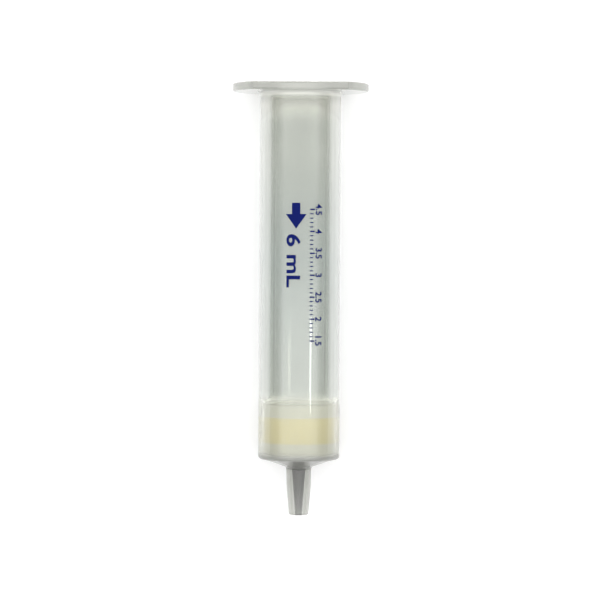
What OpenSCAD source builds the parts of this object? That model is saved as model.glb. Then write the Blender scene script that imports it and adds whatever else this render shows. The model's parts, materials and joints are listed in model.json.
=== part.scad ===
// Solid-phase extraction cartridge of the 6 mL size, a syringe-shaped column.
//
// One moulded polypropylene barrel, with a D-cut finger flange at its mouth and a Luer
// slip tip at its foot, holds a bed of sorbent between two sintered polyethylene frits.
//
// Every piece is drawn upright on the barrel's own axis, with z = 0 at the end of the tip.
// lay_down() then puts the cartridge on its side as it comes to rest on a table: on the
// lower flat of the flange and on the corner of the base, mouth towards +Y, z = 0 on the
// table. All lengths are in millimetres.

/* [Barrel] */
// Outer diameter of the barrel
barrel_od = 14.8; // [13.5:0.1:16]
// Thickness of the wall at the mouth, where a stopper or an adapter plugs in
wall_t = 0.95; // [0.8:0.05:1.2]
// Draft of the bore: how much narrower it is round the bed than at the mouth
bore_draft = 0.2; // [0.1:0.05:0.4]
// Length of the straight stretch of bore at the mouth
mouth_land = 12; // [8:0.5:18]
// Radius on the bore's edge at the mouth
mouth_round = 0.3; // [0.1:0.05:0.5]
// Length of the outer wall, from the corner of the base to the flange
wall_len = 66.4; // [60:0.2:74]

/* [Flange] */
// Width of the flange, across its round ends
flange_w = 24.8; // [22:0.2:27]
// Depth of the flange, across its two flats
flange_d = 18; // [17:0.2:20]
// Thickness of the flange
flange_t = 1.45; // [1.2:0.05:2]
// Radius along the upper edges of the flange
flange_round = 0.25; // [0.1:0.05:0.4]
// Radius along the lower edges of the flange
flange_under_round = 0.45; // [0.2:0.05:0.7]
// Fillet between the flange and the wall
flange_fillet = 0.6; // [0.3:0.05:0.9]

/* [Base] */
// Rise of the conical base from the tip out to the rim, in degrees
base_slope = 19; // [12:1:26]
// Width of the flat rim round the foot of the wall
base_rim_w = 0.7; // [0.6:0.05:1]
// Radius on the corner between the rim and the wall
base_round = 0.55; // [0.3:0.05:0.6]
// Thickness of the floor over the base, measured upright
floor_t = 0.8; // [0.7:0.05:1.5]
// Width of the flat ledge that carries the lower frit
ledge_w = 0.7; // [0.5:0.05:1]
// Width of a rib on the funnel
rib_w = 0.7; // [0.5:0.05:1]
// Radius at which the ribs stop, short of the outlet
rib_start_r = 1.8; // [1.4:0.1:2.6]

/* [Tip] */
// Length of the tip, from its end to the base
tip_len = 8.6; // [7.5:0.1:10]
// Diameter of the tip where it joins the base
tip_root_d = 4.62; // [4.4:0.02:4.8]
// Change of diameter along the Luer cone, per mm of length
luer_taper = 0.06; // [0.05:0.005:0.07]
// Length of the steeper nose below the Luer cone
nose_len = 4.8; // [3:0.2:5.6]
// Diameter of the nose at its end
nose_end_d = 3.55; // [3.3:0.05:3.9]
// Radius round the end of the nose
nose_round = 0.3; // [0.15:0.05:0.4]
// Fillet between the tip and the base
tip_fillet = 0.6; // [0.3:0.05:0.9]
// Diameter of the outlet where it leaves the funnel
outlet_top_d = 1.7; // [1.2:0.05:2.2]
// Diameter of the outlet at the end of the tip
outlet_end_d = 0.8; // [0.6:0.05:1.6]
// Radius on the funnel's edge where it turns into the outlet
throat_round = 0.4; // [0.2:0.05:0.6]

/* [Bed] */
// Thickness of the lower frit, which carries the bed
lower_frit_t = 2.4; // [1.6:0.1:3.2]
// Thickness of the upper frit, which holds the bed down
upper_frit_t = 2.2; // [1.2:0.1:3.2]
// Bevel round both edges of a frit
frit_bevel = 0.2; // [0.1:0.05:0.4]
// Height of the sorbent between the frits, on the axis
bed_h = 4.6; // [2:0.2:20]
// Lean of the upper frit, pressed in a little askew: its rise towards the table, in degrees
lean_back = 3; // [0:0.5:5]
// Lean of the upper frit to one side, in degrees
lean_side = 1.5; // [0:0.5:5]
// Gap between the bore and what stands in it
bed_fit = 0.02; // [0.01:0.01:0.05]
// Straight bore left above the upper frit
seat_spare = 1.5; // [0.5:0.25:4]

/* [Hidden] */

$fn = 96;
over = 1; // how far a cut runs past the face that it opens
sink = 0.2; // how far a piece of one solid runs into the rest of it
rib_walls = 3; // each wall runs right across the funnel and makes two ribs

barrel_r = barrel_od / 2;
mouth_r = barrel_r - wall_t;
seat_r = mouth_r - bore_draft / 2;
flange_r = flange_w / 2;
tip_root_r = tip_root_d / 2;
nose_end_r = nose_end_d / 2;
nose_top_r = tip_root_r - (tip_len - nose_len) * luer_taper / 2;
outlet_top_r = outlet_top_d / 2;
outlet_end_r = outlet_end_d / 2;
ledge_r = seat_r - ledge_w;
bed_r = seat_r - bed_fit;

// Heights on the barrel's axis, from the end of the tip upwards
rim_r = barrel_r - base_rim_w;
function base_z(r) = tip_len + (min(r, rim_r) - tip_root_r) * tan(base_slope);
corner_z = base_z(barrel_r);
ledge_z = base_z(seat_r) + floor_t;
throat_z = base_z(outlet_top_r) + floor_t;
lower_frit_z = ledge_z;
bed_z = lower_frit_z + lower_frit_t;
upper_frit_z = bed_z + bed_h;
seat_top_z = upper_frit_z + upper_frit_t + seat_spare;
flange_z = corner_z + wall_len;
mouth_z = flange_z + flange_t;
land_z = mouth_z - mouth_land;

// The funnel's surface and the outlet's wall, as straight lines
funnel_rise = (ledge_z - throat_z) / (ledge_r - outlet_top_r);
function funnel_z(r) = throat_z + (r - outlet_top_r) * funnel_rise;
outlet_flare = (outlet_top_r - outlet_end_r) / throat_z;
function outlet_r(z) = outlet_end_r + z * outlet_flare;

// The table touches two rounded corners: the flange's lower edge and the base's corner.
// Each is a circle in the plane of symmetry, given by its centre and its radius.
base_corner = [barrel_r - base_round, corner_z + base_round];
flange_corner = [flange_d / 2 - flange_under_round, flange_z + flange_under_round];
corner_step = flange_corner - base_corner;
rest_tilt = atan2(corner_step[0], corner_step[1])
          - asin((base_round - flange_under_round) / norm(corner_step));
axis_z = flange_under_round
       + flange_corner[0] * cos(rest_tilt) - flange_corner[1] * sin(rest_tilt);

// The two ends of the laid-down part along Y, before it is centred
mouth_end_y = (mouth_z - flange_round) * cos(rest_tilt)
            + (flange_d / 2 - flange_round) * sin(rest_tilt) + flange_round;
tip_corner_turn = atan((nose_top_r - nose_end_r) / nose_len) / 2 + 45;
tip_end_y = nose_round * (1 - cos(rest_tilt))
          - (nose_end_r - nose_round / tan(tip_corner_turn)) * sin(rest_tilt);
axis_y = -(mouth_end_y + tip_end_y) / 2;

// Turns the upright cartridge on its side and sets it on the table.
module lay_down() {
    translate([0, axis_y, axis_z]) rotate([rest_tilt - 90, 0, 0]) children();
}

function unit(v) = v / norm(v);

// The area between a sharp corner and the arc that rounds it, run a little past the two
// edges. tip is the corner, and a and b are points on its edges. Taken away, it rounds an
// edge, and added, it fills a corner.
module corner_web(tip, a, b, r) {
    to_a = unit(a - tip);
    to_b = unit(b - tip);
    half = acos(to_a * to_b) / 2;
    inward = unit(to_a + to_b);
    centre = tip + inward * r / sin(half);
    foot_a = tip + to_a * r / tan(half);
    foot_b = tip + to_b * r / tan(half);
    past = 1 + sink / r;
    difference() {
        polygon([
            tip - inward * sink, centre + (foot_a - centre) * past,
            centre, centre + (foot_b - centre) * past
        ]);
        translate(centre) circle(r);
    }
}

// Half section of the solid that fills the barrel, its base and its tip.
module outer_section() {
    nose_end = [nose_end_r, 0];
    nose_top = [nose_top_r, nose_len];
    root = [tip_root_r, tip_len];
    rim = [rim_r, corner_z];
    corner = [barrel_r, corner_z];
    brim = [barrel_r, flange_z];
    difference() {
        union() {
            polygon([
                [0, 0], nose_end, nose_top, root, rim, corner,
                [barrel_r, mouth_z], [0, mouth_z]
            ]);
            corner_web(root, nose_top, rim, tip_fillet);
            corner_web(brim, corner, [flange_r, flange_z], flange_fillet);
        }
        corner_web(nose_end, [0, 0], nose_top, nose_round);
        corner_web(corner, rim, brim, base_round);
    }
}

// Half section of the hollow: the outlet, the funnel, the ledge and the drafted bore.
module bore_section() {
    throat = [outlet_top_r, throat_z];
    ledge = [ledge_r, ledge_z];
    mouth = [mouth_r, mouth_z];
    polygon([
        [0, -over], [outlet_r(-over), -over], throat, ledge,
        [seat_r, ledge_z], [seat_r, seat_top_z], [mouth_r, land_z],
        [mouth_r, mouth_z + over], [0, mouth_z + over]
    ]);
    corner_web(throat, [outlet_end_r, 0], ledge, throat_round);
    corner_web(mouth, [barrel_r, mouth_z], [mouth_r, land_z], mouth_round);
}

// A rectangle with round corners, centred on the origin across and standing on y = 0.
module rounded_bar(w, h, under_r, upper_r) {
    side = w / 2;
    for (turn = [-1, 1]) {
        translate([turn * (side - under_r), under_r]) circle(under_r);
        translate([turn * (side - upper_r), h - upper_r]) circle(upper_r);
    }
    polygon([
        [under_r - side, 0], [side - under_r, 0], [side, under_r], [side, h - upper_r],
        [side - upper_r, h], [upper_r - side, h], [-side, h - upper_r], [-side, under_r]
    ]);
}

// The finger flange: a disc with rounded edges, cut to two flats.
module flange() {
    translate([0, 0, flange_z]) intersection() {
        rotate_extrude() intersection() {
            rounded_bar(flange_w, flange_t, flange_under_round, flange_round);
            square([flange_r, flange_t]);
        }
        translate([-flange_r, 0, 0]) rotate([90, 0, 90])
            linear_extrude(flange_w)
                rounded_bar(flange_d, flange_t, flange_under_round, flange_round);
    }
}

// The ribs on the funnel, level with the ledge, which hold the frit clear of the drain.
module drain_ribs() {
    rib_end_r = ledge_r + sink;
    intersection() {
        rotate_extrude() polygon([
            [rib_start_r, funnel_z(rib_start_r) - sink],
            [rib_end_r, ledge_z - sink],
            [rib_end_r, ledge_z],
            [rib_start_r, ledge_z]
        ]);
        for (turn = [0 : rib_walls - 1])
            rotate(turn * 180 / rib_walls)
                translate([-rib_end_r, -rib_w / 2, 0]) cube([2 * rib_end_r, rib_w, mouth_z]);
    }
}

// A sintered frit: a porous disc with bevelled edges, standing on z = 0.
module frit(t) {
    rotate_extrude() polygon([
        [0, 0], [bed_r - frit_bevel, 0], [bed_r, frit_bevel],
        [bed_r, t - frit_bevel], [bed_r - frit_bevel, t], [0, t]
    ]);
}

module barrel() {
    color([0.84, 0.86, 0.82, 0.5]) {
        difference() {
            union() {
                rotate_extrude() outer_section();
                flange();
            }
            rotate_extrude() bore_section();
        }
        drain_ribs();
    }
}

module lower_frit() {
    color([0.86, 0.87, 0.80]) translate([0, 0, lower_frit_z]) frit(lower_frit_t);
}

// Everything in the bore between the bed's foot and the top of the seat.
module seat_space() {
    translate([0, 0, bed_z]) cylinder(r = bed_r, h = seat_top_z - bed_z);
}

// Tips its children about the point where the axis meets the top of the bed.
module askew() {
    translate([0, 0, upper_frit_z]) rotate([lean_back, -lean_side, 0]) children();
}

// The bed fills the bore up to the leaning frit.
module sorbent_bed() {
    color([0.89, 0.86, 0.69]) intersection() {
        seat_space();
        askew() translate([-barrel_r, -barrel_r, -mouth_z]) cube([barrel_od, barrel_od, mouth_z]);
    }
}

// The bore squeezes the disc where its lean brings it past the wall.
module upper_frit() {
    color([0.86, 0.87, 0.80]) intersection() {
        seat_space();
        askew() frit(upper_frit_t);
    }
}

lay_down() barrel();
lay_down() lower_frit();
lay_down() sorbent_bed();
lay_down() upper_frit();
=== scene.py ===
import json
import math

import bmesh
import bpy
from mathutils import Matrix, Vector


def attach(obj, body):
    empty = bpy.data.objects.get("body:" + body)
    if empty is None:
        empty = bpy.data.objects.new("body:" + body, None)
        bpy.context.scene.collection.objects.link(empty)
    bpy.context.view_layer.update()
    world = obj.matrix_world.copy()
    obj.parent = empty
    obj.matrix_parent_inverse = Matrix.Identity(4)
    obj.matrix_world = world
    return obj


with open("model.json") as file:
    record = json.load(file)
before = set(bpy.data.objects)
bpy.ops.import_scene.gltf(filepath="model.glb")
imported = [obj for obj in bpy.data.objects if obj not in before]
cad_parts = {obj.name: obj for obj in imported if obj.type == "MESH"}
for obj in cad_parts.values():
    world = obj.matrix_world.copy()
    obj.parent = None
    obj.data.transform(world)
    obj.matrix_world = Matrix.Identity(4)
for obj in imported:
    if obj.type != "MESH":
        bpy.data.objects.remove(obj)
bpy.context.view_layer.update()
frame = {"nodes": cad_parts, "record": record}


# The barrel. Natural polypropylene, injection moulded in one piece against polished steel: milky
# where the wall is looked along and clear where it is looked through. It lies on its side, so its
# axis leans a little from +Y, and the part's own mounts give that axis, the mouth and the wall.

def mount(name):
    """The part's own mount of that name."""
    return next(m for m in frame["record"]["mounts"] if m["name"] == name)


ALONG = Vector(mount("mouth_bore")["axis"])      # from the tip towards the mouth
ACROSS = Vector((1, 0, 0))                       # along the width of the flange
FRONT = ACROSS.cross(ALONG)                      # square to the axis, away from the table
ON_AXIS = Vector(mount("mouth_bore")["pos_m"])
MOUTH = ON_AXIS + ALONG * (Vector(mount("mouth_face")["pos_m"]) - ON_AXIS).dot(ALONG)
WALL_R = mount("barrel_wall")["dims"]["r_mm"] / 1000
RAMP_SPAN = 0.080                                # the colour ramps cover this much below the mouth

# How the wall changes from the mouth to the tip, partly by the moulding and partly by painted light and
# shade: (mm below the mouth, amount or colour).
# Tint of the wall: darker at the flange; a painted highlight under it at 1.7 to 2.2 mm; painted shade and
# light down the empty barrel, darkest near 32 mm; a painted lift over the bed; darker base and tip, partly
# thick plastic and partly painted shade.
WALL_TINT_AND_PAINTED_LIGHT = ((0, 0.78), (1.5, 0.78), (1.7, 1.12), (2.2, 1.12), (2.6, 0.88), (4.5, 0.95),
             (7, (0.89, 0.905, 0.91)), (13, (0.935, 0.95, 0.96)), (32, (0.865, 0.90, 0.925)),
             (56.0, (0.895, 0.915, 0.925)), (57.0, 1.10), (66.3, 0.98), (67.4, 0.65), (68.8, 0.52),
             (69.8, 0.56), (78.0, 0.66))
# A painted arch of shade with painted light under it, just below the flange, which runs further from the
# mouth at the sides.
PAINTED_ARCH_UNDER_FLANGE = ((2.6, 1.0), (3.1, 0.96), (3.7, 1.07), (5.2, 1.04), (7.5, 1.0))
# Clearness drops under the flange, so that the painted highlight shows there, and in the thick base.
CLEARNESS = ((0, 0.55), (1.5, 0.55), (1.7, 0.35), (2.2, 0.35), (2.6, 0.86), (66.4, 0.86),
             (67.4, 0.4), (68.8, 0.35), (69.8, 0.88))
SIDE_HAZE = ((0, 0.3), (4, 0.7), (56.0, 0.7), (57.0, 0.15), (78, 0.1))
POLISH = ((0, 0.3), (3, 0.3), (5, 1.0), (56.0, 1.0), (57.0, 0.1))
LAMP_LIGHT_LET_IN = ((0, 0.5), (56.0, 0.5), (57.0, 1.0))
# Painted shade in the tip's bore, darkest at its top: the dark core that the narrow bore shows.
PAINTED_OUTLET_SHADE = ((69.0, 0.12), (73.5, 0.22), (76.0, 0.40), (78.0, 0.6))
# Colours close to the fill's own, painted on the bore where the bed lies, and how much of them shows:
# painted light that widens the bed and lightens its sides.
FRIT_PAINTED_ON_BORE, POWDER_PAINTED_ON_BORE = (0.88, 0.88, 0.78), (0.97, 0.89, 0.52)
PAINTED_FILL_ON_BORE = ((57.8, FRIT_PAINTED_ON_BORE), (60.0, FRIT_PAINTED_ON_BORE), (60.3, POWDER_PAINTED_ON_BORE),
                (64.6, POWDER_PAINTED_ON_BORE), (64.9, FRIT_PAINTED_ON_BORE))
PAINTED_FILL_ZONE = ((57.5, 0.0), (57.9, 0.40), (67.0, 0.40), (67.1, 0.0))

PAINTED_ARCH_BEND = 66.0                                # bend of the painted arch over (way off the middle)^2, 1/m
HAZE_STARTS, HAZE_FULL = 0.22, 0.42              # turn of the wall: 0 faces the eye, 1 is edge-on
OUTLET_R = 0.0010                                # the painted shade of the tip's bore lies inside this radius
OUTLET_STARTS, OUTLET_FULL = 0.0685, 0.0695      # and below this depth under the mouth
BORE_NEAREST, BORE_FULL = 0.0006, 0.0009         # how far the bore lies under the outer wall


def at(down, turn=0.0, radius=0.0):
    """The point that far below the mouth, at a radius from the axis and a turn from the front."""
    return MOUTH - ALONG * down + (FRONT * math.cos(turn) + ACROSS * math.sin(turn)) * radius


def new_material(name):
    """An empty node material with its Principled shader. Returns (material, nodes, links, shader)."""
    material = bpy.data.materials.new(name)
    material.use_nodes = True
    nodes, links = material.node_tree.nodes, material.node_tree.links
    return material, nodes, links, nodes["Principled BSDF"]


def set_inputs(node, **values):
    """Sets sockets by name, with underscores for spaces."""
    for name, value in values.items():
        node.inputs[name.replace("_", " ")].default_value = value


def add_node(nodes, kind, **settings):
    node = nodes.new(kind)
    for name, value in settings.items():
        setattr(node, name, value)
    return node


def feed(links, value, socket):
    if isinstance(value, bpy.types.NodeSocket):
        links.new(value, socket)
    else:
        socket.default_value = value


def maths(nodes, links, operation, *terms):
    node = add_node(nodes, "ShaderNodeMath", operation=operation)
    for term, socket in zip(terms, node.inputs):
        feed(links, term, socket)
    return node.outputs[0]


def vector_maths(nodes, links, operation, *terms):
    node = add_node(nodes, "ShaderNodeVectorMath", operation=operation)
    for term, socket in zip(terms, node.inputs):
        feed(links, term, socket)
    return node.outputs["Value" if operation in ("LENGTH", "DOT_PRODUCT") else "Vector"]


def ease(nodes, links, value, start, end, low, high):
    """A smooth step from low at start to high at end."""
    node = add_node(nodes, "ShaderNodeMapRange", interpolation_type="SMOOTHSTEP")
    feed(links, value, node.inputs["Value"])
    set_inputs(node, From_Min=start, From_Max=end, To_Min=low, To_Max=high)
    return node.outputs[0]


def along_barrel(nodes, links, down, stops):
    """A ramp down the barrel, from stops of (mm below the mouth, amount or colour)."""
    ramp = add_node(nodes, "ShaderNodeValToRGB")
    links.new(maths(nodes, links, "DIVIDE", down, RAMP_SPAN), ramp.inputs["Fac"])
    while len(ramp.color_ramp.elements) < len(stops):
        ramp.color_ramp.elements.new(0.5)
    for element, (below_mouth, value) in zip(ramp.color_ramp.elements, stops):
        element.position = below_mouth / 1000 / RAMP_SPAN
        element.color = (*value, 1) if isinstance(value, tuple) else (value, value, value, 1)
    return ramp.outputs["Color"]


def tinted(nodes, links, first, second):
    """The product of two colours, which are the Mix node's sockets 6 and 7."""
    node = add_node(nodes, "ShaderNodeMix", data_type="RGBA", blend_type="MULTIPLY")
    node.inputs[0].default_value = 1.0
    links.new(first, node.inputs[6])
    links.new(second, node.inputs[7])
    return node.outputs[2]


def milky_mass(nodes, links, place, from_mouth, down):
    """Slow clouds of milk, times the tint down the barrel, which is darker at the flange, base and tip and
    holds painted light and shade, and a painted arch of shade and light under the flange.
    """
    clouds = add_node(nodes, "ShaderNodeTexNoise")
    set_inputs(clouds, Scale=160.0, Detail=3.0, Roughness=0.6)
    links.new(place, clouds.inputs["Vector"])
    milk = add_node(nodes, "ShaderNodeValToRGB")
    milk.color_ramp.elements[0].color = (0.82, 0.83, 0.775, 1)
    milk.color_ramp.elements[1].color = (0.85, 0.86, 0.805, 1)
    links.new(clouds.outputs["Fac"], milk.inputs["Fac"])
    off_middle = vector_maths(nodes, links, "DOT_PRODUCT", from_mouth, ACROSS)
    squared = maths(nodes, links, "MULTIPLY", off_middle, off_middle)
    arch = maths(nodes, links, "SUBTRACT", down, maths(nodes, links, "MULTIPLY", squared, PAINTED_ARCH_BEND))
    tint_and_painted_light = tinted(nodes, links, along_barrel(nodes, links, down, WALL_TINT_AND_PAINTED_LIGHT),
                  along_barrel(nodes, links, arch, PAINTED_ARCH_UNDER_FLANGE))
    return tinted(nodes, links, milk.outputs["Color"], tint_and_painted_light)


def with_painted_outlet_shade(nodes, links, mass, outlet, down):
    """The mass, and painted shade in the tip's bore, where its narrow core looks dark."""
    coloured = add_node(nodes, "ShaderNodeMix", data_type="RGBA")
    links.new(outlet, coloured.inputs[0])
    links.new(mass, coloured.inputs[6])
    links.new(along_barrel(nodes, links, down, PAINTED_OUTLET_SHADE), coloured.inputs[7])
    return coloured.outputs[2]


def clear_wall(nodes, links, slant, outlet, down):
    """How much passes the wall: it is clear to look through and hazy to look along."""
    looked_along = ease(nodes, links, slant, HAZE_STARTS, HAZE_FULL, 0.0, 1.0)
    haze = maths(nodes, links, "MULTIPLY", looked_along, along_barrel(nodes, links, down, SIDE_HAZE))
    clear = maths(nodes, links, "MULTIPLY", maths(nodes, links, "SUBTRACT", 1.0, haze),
                  along_barrel(nodes, links, down, CLEARNESS))
    # Nothing passes in the tip's bore, so that its painted shade shows.
    return maths(nodes, links, "MULTIPLY", clear, maths(nodes, links, "SUBTRACT", 1.0, outlet))


def melt_waves(nodes, links, place):
    """Slow waves that the flow of the melt leaves along the wall."""
    flow = add_node(nodes, "ShaderNodeMapping")
    set_inputs(flow, Scale=(90, 18, 90))
    links.new(place, flow.inputs["Vector"])
    waves = add_node(nodes, "ShaderNodeTexNoise")
    set_inputs(waves, Scale=1.0, Detail=1.0)
    links.new(flow.outputs["Vector"], waves.inputs["Vector"])
    bump = add_node(nodes, "ShaderNodeBump")
    set_inputs(bump, Strength=0.01, Distance=0.0002)
    links.new(waves.outputs["Fac"], bump.inputs["Height"])
    return bump.outputs["Normal"]


def with_painted_fill_on_bore(nodes, links, wall, off_axis, down):
    """The fill's own colours, painted on the bore over the bed: painted light that widens the bed and
    lightens its sides, which the grazing light leaves dark.
    """
    on_bore = ease(nodes, links, off_axis, WALL_R - BORE_FULL, WALL_R - BORE_NEAREST, 1.0, 0.0)
    painted_fill_share = maths(nodes, links, "MULTIPLY", on_bore, along_barrel(nodes, links, down, PAINTED_FILL_ZONE))
    fill = add_node(nodes, "ShaderNodeBsdfDiffuse")
    links.new(along_barrel(nodes, links, down, PAINTED_FILL_ON_BORE), fill.inputs["Color"])
    both = add_node(nodes, "ShaderNodeMixShader")
    links.new(painted_fill_share, both.inputs["Fac"])
    links.new(wall, both.inputs[1])
    links.new(fill.outputs[0], both.inputs[2])
    return both.outputs[0]


def with_lamp_light_let_in(nodes, links, wall, slant, down):
    """Lamp light passes the wall to what is inside, less so where the wall is looked along."""
    rays = add_node(nodes, "ShaderNodeLightPath")
    let_in = add_node(nodes, "ShaderNodeBsdfTransparent")
    links.new(along_barrel(nodes, links, down, LAMP_LIGHT_LET_IN), let_in.inputs["Color"])
    edge_on = maths(nodes, links, "POWER", slant, 4.0)
    open_part = maths(nodes, links, "SUBTRACT", 1.0, edge_on)
    both = add_node(nodes, "ShaderNodeMixShader")
    links.new(maths(nodes, links, "MULTIPLY", rays.outputs["Is Shadow Ray"], open_part), both.inputs["Fac"])
    links.new(wall, both.inputs[1])
    links.new(let_in.outputs[0], both.inputs[2])
    return both.outputs[0]


def moulded_polypropylene():
    material, nodes, links, shader = new_material("natural polypropylene")
    place = add_node(nodes, "ShaderNodeTexCoord").outputs["Object"]
    from_mouth = vector_maths(nodes, links, "SUBTRACT", place, MOUTH)
    down = vector_maths(nodes, links, "DOT_PRODUCT", from_mouth, -ALONG)
    square_to_axis = vector_maths(nodes, links, "CROSS_PRODUCT", from_mouth, ALONG)
    off_axis = vector_maths(nodes, links, "LENGTH", square_to_axis)
    # Where the painted shade of the tip's bore lies.
    outlet = maths(nodes, links, "MULTIPLY",
                   ease(nodes, links, off_axis, OUTLET_R * 0.9, OUTLET_R, 1.0, 0.0),
                   ease(nodes, links, down, OUTLET_STARTS, OUTLET_FULL, 0.0, 1.0))
    layer = add_node(nodes, "ShaderNodeLayerWeight")
    set_inputs(layer, Blend=0.5)
    slant = layer.outputs["Facing"]

    mass = milky_mass(nodes, links, place, from_mouth, down)
    links.new(with_painted_outlet_shade(nodes, links, mass, outlet, down), shader.inputs["Base Color"])
    links.new(clear_wall(nodes, links, slant, outlet, down), shader.inputs["Transmission Weight"])
    links.new(along_barrel(nodes, links, down, POLISH), shader.inputs["Coat Weight"])
    links.new(melt_waves(nodes, links, place), shader.inputs["Normal"])
    set_inputs(shader, Roughness=0.04, IOR=1.49, Coat_Roughness=0.03, Coat_IOR=1.5)

    filled = with_painted_fill_on_bore(nodes, links, shader.outputs[0], off_axis, down)
    wall = with_lamp_light_let_in(nodes, links, filled, slant, down)
    links.new(wall, nodes["Material Output"].inputs["Surface"])
    return material


frame["nodes"]["barrel"].data.materials[0] = moulded_polypropylene()


# The two frits. Discs of sintered polyethylene, white, matt and finely porous. The lower one sits
# on the ledge over the funnel and the upper one is pressed down on the bed, a little askew.

def grainy_material(name, clouds_per_m, cloud_detail, dark, light, grains_per_m, relief, roughness):
    """A matt mass of grains: dark and light are (place on the ramp, colour), relief is (strength, m)."""
    material, nodes, links, shader = new_material(name)
    place = add_node(nodes, "ShaderNodeTexCoord").outputs["Object"]
    grains = add_node(nodes, "ShaderNodeTexVoronoi")
    set_inputs(grains, Scale=grains_per_m)
    links.new(place, grains.inputs["Vector"])
    clouds = add_node(nodes, "ShaderNodeTexNoise")
    set_inputs(clouds, Scale=clouds_per_m, Detail=cloud_detail, Roughness=0.7)
    links.new(place, clouds.inputs["Vector"])
    shade = add_node(nodes, "ShaderNodeValToRGB")
    for element, (position, color) in zip(shade.color_ramp.elements, (dark, light)):
        element.position = position
        element.color = (*color, 1)
    links.new(clouds.outputs["Fac"], shade.inputs["Fac"])
    links.new(shade.outputs["Color"], shader.inputs["Base Color"])
    bump = add_node(nodes, "ShaderNodeBump")
    set_inputs(bump, Strength=relief[0], Distance=relief[1])
    links.new(grains.outputs["Distance"], bump.inputs["Height"])
    links.new(bump.outputs["Normal"], shader.inputs["Normal"])
    set_inputs(shader, Roughness=roughness)
    return material


white_frit = grainy_material("sintered polyethylene", clouds_per_m=900.0, cloud_detail=5.0,
                             dark=(0.35, (0.66, 0.66, 0.56)), light=(0.58, (0.97, 0.96, 0.86)),
                             grains_per_m=5200.0, relief=(0.5, 0.00006), roughness=0.85)
for name in ("lower_frit", "upper_frit"):
    frame["nodes"][name].data.materials[0] = white_frit


# The sorbent bed. A cream powder of fine polymer beads, weighed in dry, levelled and held between
# the two frits, so that it fills the bore and takes the lean of the upper one.

cream_powder = grainy_material("cream sorbent powder", clouds_per_m=1100.0, cloud_detail=4.0,
                               dark=(0.35, (0.90, 0.81, 0.44)), light=(0.65, (0.99, 0.90, 0.53)),
                               grains_per_m=9000.0, relief=(0.3, 0.00003), roughness=0.9)
frame["nodes"]["sorbent_bed"].data.materials[0] = cream_powder


# The volume scale. Fine ticks for every tenth of a millilitre over the upper frit, with a longer
# tick and a plain figure at each half, pad-printed in dark blue ink that lies on the wall as a
# thin film.

INK_OUTSIDE = 0.000016                # how far the film stands off the wall
INK_INSIDE = 0.000012                 # how far it reaches into it, so that no gap shows
STRIP = 0.0004                        # the film is cut into strips this wide before it is wrapped
WELD, CUT_SLACK = 1e-6, 1e-7          # points this near each other, or a cut, count as one
BORE_AREA = 127.7e-6                  # mean section of the bore, m2
FRIT_TOP = 0.0580                     # the upper frit's top face, below the mouth
SCALE_TURN = math.radians(14.0)       # the line at the foot of the ticks
SCALE_FROM, SCALE_TO = 1.5, 4.5       # millilitres
TENTH, HALF = 1e-7, 5e-7              # of a millilitre, in m3
TICK, LONG_TICK = (0.0006, 0.00018), (0.0009, 0.00026)    # (length, width)
FIGURE_HEIGHT, FIGURE_OFFSET = 0.00125, 0.00105           # the offset is from the foot of the ticks


def pad_printing_ink():
    material, nodes, links, shader = new_material("dark blue ink")
    place = add_node(nodes, "ShaderNodeTexCoord").outputs["Object"]
    patches = add_node(nodes, "ShaderNodeTexNoise")
    set_inputs(patches, Scale=2600.0, Detail=3.0)
    links.new(place, patches.inputs["Vector"])
    shade = add_node(nodes, "ShaderNodeValToRGB")
    shade.color_ramp.elements[0].color = (0.0, 0.004, 0.10, 1)
    shade.color_ramp.elements[1].color = (0.0, 0.010, 0.15, 1)
    links.new(patches.outputs["Fac"], shade.inputs["Fac"])
    links.new(shade.outputs["Color"], shader.inputs["Base Color"])
    bump = add_node(nodes, "ShaderNodeBump")
    set_inputs(bump, Strength=0.2, Distance=0.00001)
    links.new(patches.outputs["Fac"], bump.inputs["Height"])
    links.new(bump.outputs["Normal"], shader.inputs["Normal"])
    set_inputs(shader, Roughness=0.5, Specular_IOR_Level=0.1)
    return material


blue_ink = pad_printing_ink()


def flat_figure(text, height):
    """A flat mesh of the text, from (0, 0) and that high in all. Returns (bmesh, width)."""
    curve = bpy.data.curves.new("figure", "FONT")
    curve.body = text
    curve.resolution_u = 6
    curve.offset = 0.022              # makes the strokes bolder
    letters = bpy.data.objects.new("figure", curve)
    bpy.context.scene.collection.objects.link(letters)
    shape = letters.evaluated_get(bpy.context.evaluated_depsgraph_get()).to_mesh()
    flat = bmesh.new()
    flat.from_mesh(shape)
    letters.to_mesh_clear()
    bpy.data.objects.remove(letters)
    bpy.data.curves.remove(curve)
    low = [min(v.co[i] for v in flat.verts) for i in (0, 1)]
    high = [max(v.co[i] for v in flat.verts) for i in (0, 1)]
    size = height / (high[1] - low[1])
    for v in flat.verts:
        v.co = Vector(((v.co.x - low[0]) * size, (v.co.y - low[1]) * size, 0))
    return flat, (high[0] - low[0]) * size


def add_bar(flat, x0, x1, y0, y1):
    """Adds a rectangle to the flat mesh."""
    corners = [flat.verts.new((x, y, 0)) for x, y in ((x0, y0), (x1, y0), (x1, y1), (x0, y1))]
    flat.faces.new(corners)


def add_flat(flat, other, x, y):
    """Copies the other flat mesh into this one, moved by (x, y)."""
    bmesh.ops.translate(other, vec=(x, y, 0), verts=other.verts)
    spare = bpy.data.meshes.new("spare")
    other.to_mesh(spare)
    other.free()
    flat.from_mesh(spare)
    bpy.data.meshes.remove(spare)


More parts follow.
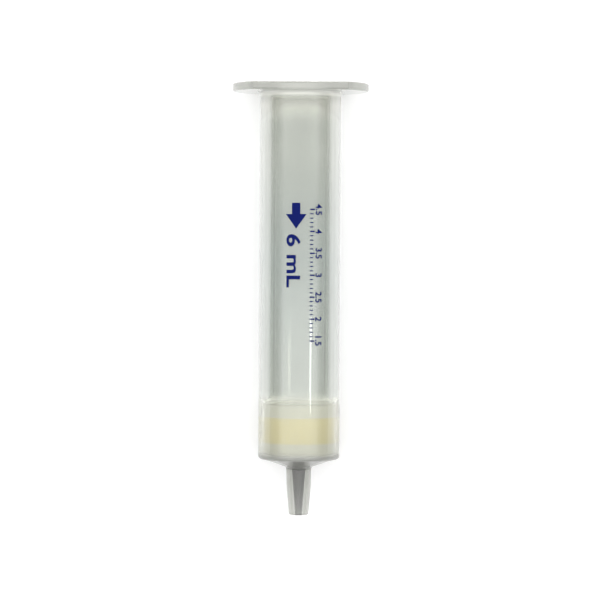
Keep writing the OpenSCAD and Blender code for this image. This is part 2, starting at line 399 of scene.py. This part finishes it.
def print_on_wall(name, flat):
    """Wraps the flat mesh on the wall as a film: x runs down the barrel, y round it towards +X."""
    bmesh.ops.remove_doubles(flat, verts=flat.verts, dist=WELD)
    lowest, highest = min(v.co.y for v in flat.verts), max(v.co.y for v in flat.verts)
    cut = lowest + STRIP
    while cut < highest:
        parts = flat.verts[:] + flat.edges[:] + flat.faces[:]
        bmesh.ops.bisect_plane(flat, geom=parts, dist=CUT_SLACK, plane_co=(0, cut, 0),
                               plane_no=(0, 1, 0))
        cut += STRIP
    for face in flat.faces:
        if face.normal.z < 0:
            face.normal_flip()
    bmesh.ops.triangulate(flat, faces=flat.faces[:])

    # The film's two skins, and a rim face over each open edge of the flat mesh.
    flat.verts.index_update()
    points = [at(v.co.x, v.co.y / WALL_R, WALL_R + lift)
              for lift in (INK_OUTSIDE, -INK_INSIDE) for v in flat.verts]
    outer = [[v.index for v in face.verts] for face in flat.faces]
    inner = [[i + len(flat.verts) for i in reversed(face)] for face in outer]
    rims = []
    for loop in [edge.link_loops[0] for edge in flat.edges if edge.is_boundary]:
        start, end = loop.vert.index, loop.link_loop_next.vert.index
        rims.append([end, start, start + len(flat.verts), end + len(flat.verts)])
    flat.free()
    mesh = bpy.data.meshes.new(name)
    mesh.from_pydata(points, [], outer + inner + rims)

    mesh.materials.append(blue_ink)
    piece = bpy.data.objects.new(name, mesh)
    bpy.context.scene.collection.objects.link(piece)
    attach(piece, "root")


foot = SCALE_TURN * WALL_R
scale_ticks = bmesh.new()
for tenth in range(round(SCALE_FROM * 10), round(SCALE_TO * 10) + 1):
    level = FRIT_TOP - tenth * TENTH / BORE_AREA
    reach, width = TICK if tenth % 5 else LONG_TICK
    add_bar(scale_ticks, level - width / 2, level + width / 2, foot, foot + reach)
print_on_wall("scale_ticks", scale_ticks)

scale_figures = bmesh.new()
for half in range(round(SCALE_FROM * 2), round(SCALE_TO * 2) + 1):
    figure, width = flat_figure(str(half // 2) if half % 2 == 0 else str(half / 2), FIGURE_HEIGHT)
    level = FRIT_TOP - half * HALF / BORE_AREA
    add_flat(scale_figures, figure, level - width / 2, foot + FIGURE_OFFSET)
print_on_wall("scale_figures", scale_figures)


# The flow arrow and the size mark. A plain arrow that shows which way the liquid runs, and the
# size of the barrel in millilitres, printed in the same ink and at the same stroke of the pad.

ARROW_FROM, ARROW_TO = 0.0216, 0.0262            # below the mouth
ARROW_TURNS = (math.radians(-20.0), math.radians(9.0))
ARROW_SHAFT = 0.0020                             # its length; the head has the rest
SIZE_FROM, SIZE_TO = 0.0272, 0.0367              # below the mouth
SIZE_TURNS = (math.radians(-19.0), math.radians(1.0))

flow_arrow = bmesh.new()
low, high = ARROW_TURNS[0] * WALL_R, ARROW_TURNS[1] * WALL_R
middle = (low + high) / 2
shoulder = ARROW_FROM + ARROW_SHAFT
half_shaft = (high - low) * 0.2
outline = ((ARROW_FROM, middle - half_shaft), (shoulder, middle - half_shaft), (shoulder, low),
           (ARROW_TO, middle), (shoulder, high), (shoulder, middle + half_shaft),
           (ARROW_FROM, middle + half_shaft))
flow_arrow.faces.new([flow_arrow.verts.new((x, y, 0)) for x, y in outline])
print_on_wall("flow_arrow", flow_arrow)

size_mark = bmesh.new()
letters, width = flat_figure("6 mL", (SIZE_TURNS[1] - SIZE_TURNS[0]) * WALL_R)
for v in letters.verts:
    v.co.x *= (SIZE_TO - SIZE_FROM) / width
add_flat(size_mark, letters, SIZE_FROM, SIZE_TURNS[0] * WALL_R)
print_on_wall("size_mark", size_mark)


# The table. A white sheet under the cartridge, lifted to plain white for the eye and in gloss and
# glass, that keeps the cartridge's shadow.

SHEET_LIFT = 0.36                                # glow of the sheet, seen and mirrored, that lights nothing


def white_sheet():
    material, nodes, links, shader = new_material("white sheet")
    set_inputs(shader, Base_Color=(0.8, 0.8, 0.8, 1), Roughness=0.9, Emission_Color=(1, 1, 1, 1))
    rays = add_node(nodes, "ShaderNodeLightPath").outputs
    seen = maths(nodes, links, "MAXIMUM", rays["Is Camera Ray"],
                 maths(nodes, links, "MAXIMUM", rays["Is Glossy Ray"], rays["Is Transmission Ray"]))
    links.new(maths(nodes, links, "MULTIPLY", seen, SHEET_LIFT), shader.inputs["Emission Strength"])
    return material


bpy.ops.mesh.primitive_plane_add(size=4)
sheet = bpy.context.object
sheet.name = "sheet"
sheet.data.materials.append(white_sheet())


# The light. A broad soft ceiling that falls off towards the horizon at the sides and the ends, with
# a dimmer band around the lens, and small lamps for the glints along the wall and at the mouth.

CEILING, HORIZON = 1.8, 0.27                     # strength of the ceiling, and of all the sky under it
CEILING_SIDES = (0.7, 0.97)                      # where it fades, as parts of a direction of length 1
CEILING_MOUTH_END = (0.3, 0.6)
CEILING_TIP_END = (-0.5, -0.3)
LENS_GAP, LENS_DIMMING = 0.07, 0.4               # the band of the ceiling that the lens blocks

world = bpy.data.worlds.new("tent")
bpy.context.scene.world = world
world.use_nodes = True
nodes, links = world.node_tree.nodes, world.node_tree.links
split = add_node(nodes, "ShaderNodeSeparateXYZ")
links.new(add_node(nodes, "ShaderNodeTexCoord").outputs["Generated"], split.inputs[0])
sideways = maths(nodes, links, "ABSOLUTE", split.outputs[0])
lengthways = split.outputs[1]
dome = maths(nodes, links, "MULTIPLY", ease(nodes, links, sideways, *CEILING_SIDES, 1.0, 0.0),
             maths(nodes, links, "MULTIPLY", ease(nodes, links, lengthways, *CEILING_MOUTH_END, 1.0, 0.0),
                   ease(nodes, links, lengthways, *CEILING_TIP_END, 0.0, 1.0)))
from_lens = maths(nodes, links, "ABSOLUTE", lengthways)
dimmed = ease(nodes, links, from_lens, 0.0, LENS_GAP, LENS_DIMMING, 1.0)
ceiling = maths(nodes, links, "MULTIPLY", dome, dimmed)
strength = maths(nodes, links, "MULTIPLY_ADD", ceiling, CEILING, HORIZON)
links.new(strength, nodes["Background"].inputs["Strength"])
nodes["Background"].inputs["Color"].default_value = (1, 1, 1, 1)


def lamp(name, place, target, width, height, watts, color=(1, 1, 1)):
    """A rectangular lamp that faces the target, its width across the barrel."""
    light = bpy.data.lights.new(name, "AREA")
    light.shape = "RECTANGLE"
    light.size, light.size_y = width, height
    light.energy = watts
    light.color = color
    obj = bpy.data.objects.new(name, light)
    bpy.context.scene.collection.objects.link(obj)
    back = (place - target).normalized()
    across = ALONG.cross(back).normalized()
    facing = Matrix((across, back.cross(across), back)).transposed().to_4x4()
    obj.matrix_world = Matrix.Translation(place) @ facing


EYE_DOWN = 0.0277                                # the lens is level with this height below the mouth
EYE_AWAY = 0.4530                                # distance from the barrel's axis to the lens

lamp("lamp_right", at(0.0731, math.radians(32), EYE_AWAY), at(0.05),
     width=0.022, height=0.033, watts=0.02)
lamp("lamp_left", at(0.0728, math.radians(-30), EYE_AWAY), at(0.05),
     width=0.014, height=0.019, watts=0.0015, color=(1, 0.9, 0.75))
lamp("lamp_mouth", at(-0.35, 0.0, 0.045), at(0.057),
     width=0.12, height=0.06, watts=0.55)
lamp("lamp_collar", at(0.30, math.radians(-22), 0.36), at(0.002),
     width=0.10, height=0.03, watts=0.03, color=(1, 0.98, 0.88))


# The camera. It looks square at the barrel from the height of the lens, and is rolled a little.

FRAME_PX = 600
PX_PER_M = 5520
EYE_PX = 237                                     # the frame's row that is level with the lens
ROLL = math.radians(0.33)

camera_data = bpy.data.cameras.new("camera")
camera = bpy.data.objects.new("camera", camera_data)
bpy.context.scene.collection.objects.link(camera)
bpy.context.scene.camera = camera
camera_data.sensor_width = 36
camera_data.lens = camera_data.sensor_width * EYE_AWAY * PX_PER_M / FRAME_PX
camera_data.shift_y = (EYE_PX - FRAME_PX / 2) / FRAME_PX
camera_data.clip_start, camera_data.clip_end = 0.01, 10
turned = Matrix((ACROSS, ALONG, FRONT)).transposed().to_4x4()
camera.matrix_world = Matrix.Translation(at(EYE_DOWN, 0, EYE_AWAY)) @ turned @ Matrix.Rotation(ROLL, 4, "Z")

bpy.context.scene.view_settings.view_transform = "Standard"
